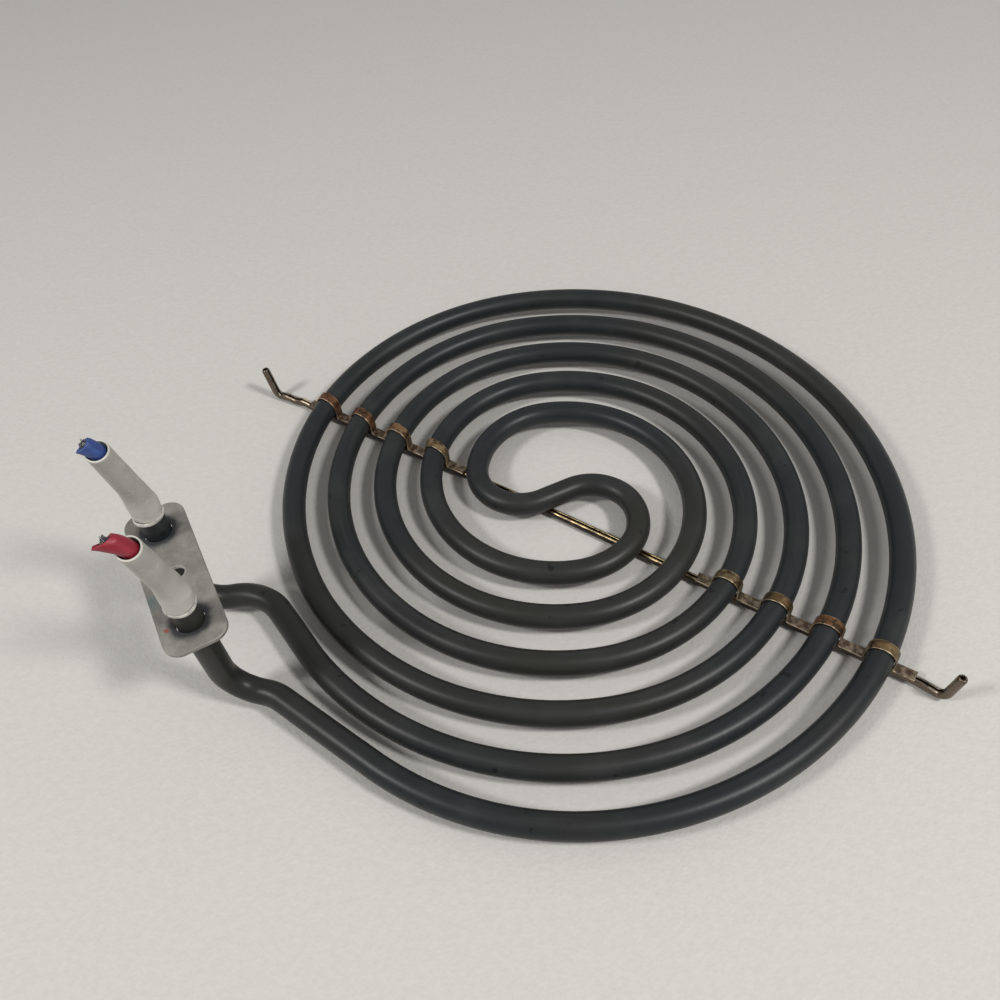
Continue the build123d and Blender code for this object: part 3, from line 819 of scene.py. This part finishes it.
def bar_section():
    """The C, slot upwards: round the outside, over one lip, back inside and over the other."""
    lip = BAR_WALL / 2
    middle = BAR_RADIUS - lip
    open_angle = math.asin((BAR_SLOT / 2 + lip) / middle)
    outside = np.linspace(open_angle, 2 * np.pi - open_angle, 34)
    turn = np.linspace(0, np.pi, 7)[1:-1]

    def arc(radius, angles):
        return radius * np.array([np.sin(angles), np.cos(angles)])

    last_lip = arc(middle, -open_angle)[:, None] + arc(lip, turn - open_angle)
    first_lip = arc(middle, open_angle)[:, None] + arc(lip, turn + open_angle + np.pi)
    round_inside = arc(BAR_RADIUS - BAR_WALL, outside[::-1])
    return np.concatenate([arc(BAR_RADIUS, outside), last_lip, round_inside, first_lip], axis=1)


def support_bar(finish):
    """A C section with rounded lips, its two ends pinched and rounded over."""
    route = bar_route()
    pinched = len(BAR_PINCHED)
    ease = np.ones(len(route[0]))
    ease[:pinched] = BAR_PINCHED
    ease[-pinched:] = BAR_PINCHED[::-1]
    right, up = bar_section()
    surface, skin = carried(route, -right * ease[:, None], up * ease[:, None])
    grid_piece("bar", "support_bar", surface, finish, skin, caps=True)


def loop_line():
    """One loop's middle line and its outward side, in the plane square to its tube, whose axis is at 0."""
    ahead = np.array([1.0, 0, 0])
    half = STRAP_THICKNESS / 2
    foot = STRAP_FOOT + half
    over = LOOP_INSIDE + half
    bend = STRAP_BEND_RADIUS + half
    line = Route((-over - bend - STRAP_TOE, 0, foot), ahead, (0, 1, 0), 0.3)
    line.straight(STRAP_TOE, STRAP_TOE)
    line.bend(bend, 90, UP, 0.12)
    line.straight(-foot - bend, 0.9)
    line.bend(over, 180, ahead, 0.45)
    line.straight(-foot - bend, 0.9)
    line.bend(bend, 90, ahead, 0.12)
    line.straight(STRAP_TOE, STRAP_TOE)
    points, _, _, outward, _ = line.arrays()
    return points, outward


def strip_outline():
    """The strip's rounded section: how far aside and how far out of its middle each point lies."""
    flat_aside = STRAP_WIDTH / 2 - STRAP_CORNER
    half = STRAP_THICKNESS / 2
    flat_out = half - STRAP_CORNER
    broad = np.linspace(-1, 1, 11)[1:-1] * flat_aside

    def corner(side, face, start):
        angle = start + np.linspace(0, np.pi / 2, 4)
        aside = side * flat_aside + STRAP_CORNER * np.cos(angle)
        return np.array([aside, face * flat_out + STRAP_CORNER * np.sin(angle)])

    top = np.array([broad[::-1], np.full(len(broad), half)])
    bottom = np.array([broad, np.full(len(broad), -half)])
    face = (corner(1, 1, 0), top, corner(-1, 1, np.pi / 2))
    back = (corner(-1, -1, np.pi), bottom, corner(1, -1, 3 * np.pi / 2))
    return np.concatenate([*face, *back], axis=1)


def strap(side, finish):
    """A strip bent over each tube, flat on the bar between them, and spot-welded in the middle of each flat.

    Its points have a distance along the bar, a distance aside and a height. Each loop is square to its tube:
    a point at r from the tube's axis and w aside lies (r - w * sin skew) / cos skew past the crossing.
    """
    facts = STRAPS[side]
    crossings = sorted(bar_crossing(side, number) for number in facts["loops"])
    ends = (facts["outer_end"], facts["inner_end"])
    if side == "right":
        ends = ends[::-1]
    half = STRAP_THICKNESS / 2
    foot = STRAP_FOOT + half
    middle, outward = loop_line()
    aside, out = strip_outline()

    def end_row(at):
        return np.stack([np.full_like(aside, at), aside, foot + out], axis=-1)[None]

    def flat(start, end):
        share = np.linspace(0, 1, FLAT_ROWS + 2)[1:-1, None, None]
        return start * (1 - share) + end * share

    from_axis = middle[:, :1] + outward[:, :1] * out
    height = middle[:, 2:] + outward[:, 2:] * out
    loops = []
    for distance, skew in crossings:
        past = distance + (from_axis - aside * math.sin(skew)) / math.cos(skew)
        loops.append(np.stack(np.broadcast_arrays(past, aside, height), axis=-1))
    stretches = [end_row(crossings[0][0] - ends[0]), *loops, end_row(crossings[-1][0] + ends[1])]
    parts = [stretches[0]]
    welds = []
    for before, after in zip(stretches, stretches[1:]):
        parts += [flat(before[-1:], after[:1]), after]
        welds.append((before[-1, :, 0].mean() + after[0, :, 0].mean()) / 2)
    past, across, height = np.moveaxis(np.concatenate(parts), -1, 0)

    on_top = (height > foot + half * 0.5) & (height < foot + half * 1.5)
    for weld in welds:
        from_weld = np.hypot(past - weld, across)
        rim = WELD_RIM["height"] * hump(from_weld - WELD_RIM["at"], WELD_RIM["width"])
        height = height + np.where(on_top, rim - WELD_DEPTH * hump(from_weld, WELD_RADIUS, 4), 0)
    from_middle = BAR_OFFSET + bow(past) + across
    points = (
        past[..., None] * compass(BAR_COMPASS)
        + from_middle[..., None] * compass(BAR_COMPASS + 90)
        + height[..., None] * UP
    )
    skin = np.stack(np.broadcast_arrays(past, across, out), axis=-1)
    grid_piece(f"strap_{side}_strip", f"strap_{side}", points, finish, skin, caps=True)


def leaning_route(colour, start):
    """The centre line above a leg, from this far below its top: up, and over by the lean."""
    lean_side = compass(SLEEVE_LEAN_TOWARDS)
    route = Route(LEG_TOPS[colour] - UP * start, UP, np.cross(lean_side, UP), 0.5)
    route.straight(start)
    return route.bend(SLEEVE_BEND_RADIUS, SLEEVE_LEAN, lean_side)


def sleeve(colour, finish, seed):
    """A soft tube: a circle whose radius narrows along its length, with lumps at its stretched foot."""
    route = leaning_route(colour, SLEEVE_ON_TUBE)
    route.straight(SLEEVE_REACH - SLEEVE_BEND_LENGTH)
    arrays = route.arrays()
    along = arrays[4][:, None]
    length = along[-1, 0]
    angle = ring_angles(SLEEVE_SIDES)
    places = (0, SLEEVE_ON_TUBE + 1.0, SLEEVE_ON_TUBE + SLEEVE_BEND_LENGTH, length)
    radius = np.interp(along, places, SLEEVE_RADII)
    near_foot = hump(along, STRETCHED_REACH)
    lumps = LUMP_HEIGHT * near_foot * waves(seed, 9, angle, along * 0.9)
    swells = SWELL_HEIGHT * waves(seed + 1, 3, angle, along * 0.12) * np.clip((length - along) / 6, 0, 1)
    facing = np.clip(np.cos(angle - BULGE["towards"]), 0, 1) ** 2
    bulge = BULGE["height"] * hump(along - BULGE["at"], BULGE["reach"]) * facing
    uneven = lumps + swells + bulge
    rounded_mouth = 0.1 * np.clip(1 - (length - along) / 0.25, 0, 1)
    outside = radius - SLEEVE_INSET + uneven - rounded_mouth
    bore = radius - SLEEVE_WALL - 0.1 + uneven * 0.5
    bore = np.where(along < SLEEVE_ON_TUBE + 0.5, TUBE_RADIUS + 0.05, bore)
    surface, skin, rows = carried_tube(arrays, outside, bore)
    # the foot is cut unevenly
    surface[..., 2] += FOOT_RAGGED * waves(seed + 2, 6, angle) * near_foot[rows]
    grid_piece(f"{colour}_sleeving", f"sleeve_{colour}", surface, finish, skin)


def lead_route(colour, start, extra=0.0):
    """The lead's centre line from this far along the sleeve, out of its mouth and over to the side."""
    facts = LEADS[colour]
    over = leaning_route(colour, 1.0)
    start_at = over.at + over.heading * (start - SLEEVE_BEND_LENGTH)
    route = Route(start_at, over.heading, over.across, 0.4)
    route.straight(SLEEVE_REACH - LEAD_BEND_IN_SLEEVE - start)
    route.bend(LEAD_BEND_RADIUS, facts["bend"], compass(LEAD_TOWARDS))
    return route.straight(facts["run"] + extra).arrays()


def insulation(colour, finish, seed):
    """A thick-walled tube round the strands, its end cut on a slant and torn a little."""
    facts = LEADS[colour]
    route = lead_route(colour, INSULATION_START)
    _, headings, acrosses, upwards, travel = route
    along = travel[:, None]
    angle = ring_angles(INSULATION_SIDES)
    # the cut: the torn side is drawn back the most, and the side across from it the least
    torn_angle = math.atan2(upwards[-1].dot(TORN_SIDE), acrosses[-1].dot(TORN_SIDE))
    torn_share = (1 + np.cos(angle - torn_angle)) / 2
    drawn = facts["slant"] * torn_share**0.7 + facts["ragged"] * (1 + waves(seed, 7, angle))
    drawn_over = facts["slant"] + TORN_REACH
    near_end = np.clip((along - travel[-1] + drawn_over) / drawn_over, 0, 1)
    wobble = INSULATION_WOBBLE * waves(seed + 1, 4, angle, along * 0.4)
    outside = INSULATION_RADIUS - INSULATION_INSET + wobble
    surface, skin, rows = carried_tube(route, outside, STRANDS_RADIUS + INSULATION_INSET + wobble)
    surface -= (near_end * drawn)[rows][..., None] * headings[rows][:, None]
    name = f"{colour}_insulation"
    grid_piece(name, f"wire_insulation_{colour}", surface, finish, skin)


def strands(colour, finish, seed):
    """Nineteen fine wires: one in the middle, then rings of six and twelve, laid in a slow twist."""
    points, headings, acrosses, upwards, travel = lead_route(colour, STRANDS_START, LEADS[colour]["strands"])
    along = travel[:, None, None]
    dice = np.random.default_rng(seed)
    wire = STRANDS_RADIUS / 5
    from_middle = np.repeat([0, 2 * wire, 4 * wire], [1, 6, 12])[None, :, None]
    seat = np.concatenate([[0], ring_angles(6), ring_angles(12)])[None, :, None]
    fray = np.clip((along - travel[-1] + FRAY_REACH) / FRAY_REACH, 0, 1) ** 2
    spread = FRAY_SPREAD * dice.uniform(-1, 1, 19)[None, :, None]
    drawn_back = fray * dice.uniform(0, FRAY_DRAWN_BACK, 19)[None, :, None]
    lay = seat + along * LAY_TWIST
    away = from_middle * (1 + fray * spread)
    angle = ring_angles(6)[None, None]
    left = away * np.cos(lay) + wire * 0.96 * np.cos(angle)
    up = away * np.sin(lay) + wire * 0.96 * np.sin(angle)
    surface = (
        points[:, None, None]
        + left[..., None] * acrosses[:, None, None]
        + up[..., None] * upwards[:, None, None]
        - drawn_back[..., None] * headings[:, None, None]
        + fray[..., None] * STRANDS_LIFT * np.array(TORN_SIDE)
    )
    # the nineteen grids become one mesh, each wire closed by a face at both ends
    index = np.arange(surface[..., 0].size).reshape(surface.shape[:3])
    faces = faces_between(index[:-1], index[1:])
    faces += index[0, :, ::-1].tolist() + index[-1].tolist()
    name = f"{colour}_strands"
    mesh = bpy.data.meshes.new(name)
    mesh.from_pydata(to_frame(surface.reshape(-1, 3)).tolist(), [], faces)
    finish_piece(name, f"wire_strands_{colour}", mesh, finish)


def sealant_bead(colour, finish, seed):
    """A lumpy ring of paste squeezed out under the sleeve's foot: a half-round carried round the leg."""
    top = LEG_TOPS[colour] - UP * (SLEEVE_ON_TUBE + SEALANT_GAP)
    bore = TUBE_RADIUS + SEALANT_GAP
    angle = ring_angles(SEALANT_SIDES)[:, None]
    share = np.linspace(0, 1, SEALANT_ROUND)[None]
    swell = np.clip(1 + 0.4 * waves(seed, 8, angle), 0.3, 1.6)
    out = bore + SEALANT_WIDTH * swell * np.sin(np.pi * share) ** 0.7
    depth = SEALANT_HEIGHT * (1 + 0.12 * waves(seed + 1, 6, angle))
    down = depth * (1 - np.cos(np.pi * share)) / 2
    # two more points go back up along the leg
    out = np.concatenate([out, np.full((SEALANT_SIDES, 2), bore)], axis=1)
    down = np.concatenate([down, depth * 0.66, depth * 0.33], axis=1)
    points = np.stack([top[0] + out * np.cos(angle), top[1] + out * np.sin(angle), top[2] - down], axis=-1)
    grid_piece(f"{colour}_sealant", f"sealant_bead_{colour}", points, finish, merge=True)


def dress(node, finish):
    """Give a node of the frame its finish."""
    for thing in bpy.data.objects:
        if thing.type == "MESH" and thing.name == node:
            for place in thing.material_slots:
                place.material = finish
            if not thing.material_slots:
                thing.data.materials.append(finish)


# ---------------------------------------------------------------- floor, lamps and camera


def pale_floor():
    """Warm pale grey, with the fine pebbled grain of leathercloth."""
    f = Finish("pale_floor")
    grain = f.noise(f.place(), 420.0, 4.0, 0.6)
    pebbles = f.cells(f.place(), 900.0)
    base = f.blend(grain.rise(0.3, 0.7), (0.545, 0.535, 0.512), (0.570, 0.560, 0.537))
    return f.shade(Base_Color=base, Roughness=0.7, Normal=f.bumped(pebbles + grain * 0.6, 0.0003, 0.3))


def floor():
    """A flat square just under the coil."""
    lowest = CAD_BOX[0][2] - FLOOR_GAP * MM
    corners = [(FLOOR_REACH * x, FLOOR_REACH * y, lowest) for x, y in ((-1, -1), (1, -1), (1, 1), (-1, 1))]
    mesh = bpy.data.meshes.new("floor")
    mesh.from_pydata(corners, [], [(0, 1, 2, 3)])
    mesh.materials.append(pale_floor())
    sheet = bpy.data.objects.new("floor", mesh)
    bpy.context.scene.collection.objects.link(sheet)


def placed(name, data, right, up, back, place):
    """An object of the scene that looks away from its back, at a place in metres."""
    thing = bpy.data.objects.new(name, data)
    bpy.context.scene.collection.objects.link(thing)
    rows = [[right[i], up[i], back[i], place[i]] for i in range(3)]
    thing.matrix_world = Matrix(rows + [[0, 0, 0, 1]])
    return thing


def lamp(name, towards, size, watts, colour):
    """A small square lamp that looks at the coil's middle from this direction."""
    data = bpy.data.lights.new(name, "AREA")
    data.shape = "RECTANGLE"
    data.size = size
    data.size_y = size
    data.energy = watts
    data.color = colour
    back = unit(np.array(towards))
    right = unit(np.cross(UP, back))
    place = to_frame([0, 0, 0]) + np.array(towards) * LAMP_DISTANCE
    placed(name, data, right, np.cross(back, right), back, place)


def camera():
    """A camera looking down at the coil: turned about Z, tipped down, then rolled."""
    down, turn, roll = (math.radians(angle) for angle in (CAMERA_DOWN, CAMERA_TURN, CAMERA_ROLL))
    level = np.array([math.cos(turn), math.sin(turn), 0.0])
    forward = np.cross(UP, level)
    ahead = forward * math.cos(down) - UP * math.sin(down)
    raised = forward * math.sin(down) + UP * math.cos(down)
    right = level * math.cos(roll) + raised * math.sin(roll)
    up = raised * math.cos(roll) - level * math.sin(roll)
    data = bpy.data.cameras.new("camera")
    data.sensor_width = SENSOR_WIDTH
    data.lens = CAMERA_LENS
    data.clip_start = CLIP_START
    bpy.context.scene.camera = placed("camera", data, right, up, -ahead, to_frame(CAMERA_AT))


def surroundings():
    """An even, faintly warm light from all round."""
    world = bpy.data.worlds.new("world")
    world.use_nodes = True
    background = world.node_tree.nodes["Background"]
    background.inputs["Color"].default_value = WORLD_COLOUR
    background.inputs["Strength"].default_value = WORLD_STRENGTH
    bpy.context.scene.world = world


# ---------------------------------------------------------------- the scene

sheath_tube(oxidised_sheath())
support_bar(heat_tinted_bar())
strap_finish = heat_tinted_strap()
strap("left", strap_finish)
strap("right", strap_finish)
sleeving_finish = soft_sleeving()
strands_finish = tinned_strands()
sealant_finish = cured_sealant()
insulation_finishes = {
    "blue": silicone("blue_silicone", (0.026, 0.055, 0.210), (0.045, 0.095, 0.310)),
    "red": silicone("red_silicone", (0.240, 0.010, 0.026), (0.330, 0.022, 0.045)),
}
pin_finish = hidden("pin_steel", (0.36, 0.35, 0.33), (0.60, 0.59, 0.57), 1.0, 0.3, 300.0)
seal_finish = hidden("seal_rubber", (0.36, 0.13, 0.08), (0.52, 0.22, 0.15), 0.0, 0.6, 400.0)
crimp_finish = hidden("tinned_brass", (0.50, 0.42, 0.26), (0.72, 0.64, 0.46), 1.0, 0.3, 300.0)
for seed, colour in enumerate(LEADS, start=3):
    sleeve(colour, sleeving_finish, seed)
    insulation(colour, insulation_finishes[colour], seed)
    strands(colour, strands_finish, seed)
    sealant_bead(colour, sealant_finish, seed)
    dress(f"terminal_pin_{colour}", pin_finish)
    dress(f"end_seal_{colour}", seal_finish)
    dress(f"crimp_{colour}", crimp_finish)
dress("flange_plate", mottled_plate())
powder_finish = hidden("magnesia", (0.72, 0.71, 0.66), (0.86, 0.85, 0.80), 0.0, 0.8, 500.0)
alloy_finish = hidden("resistance_alloy", (0.24, 0.23, 0.22), (0.46, 0.44, 0.42), 1.0, 0.35, 800.0)
dress("magnesia_fill", powder_finish)
dress("resistance_coil", alloy_finish)

floor()
camera()
for name, facts in LAMPS.items():
    lamp(name, **facts)
surroundings()
bpy.context.scene.view_settings.view_transform = "Standard"
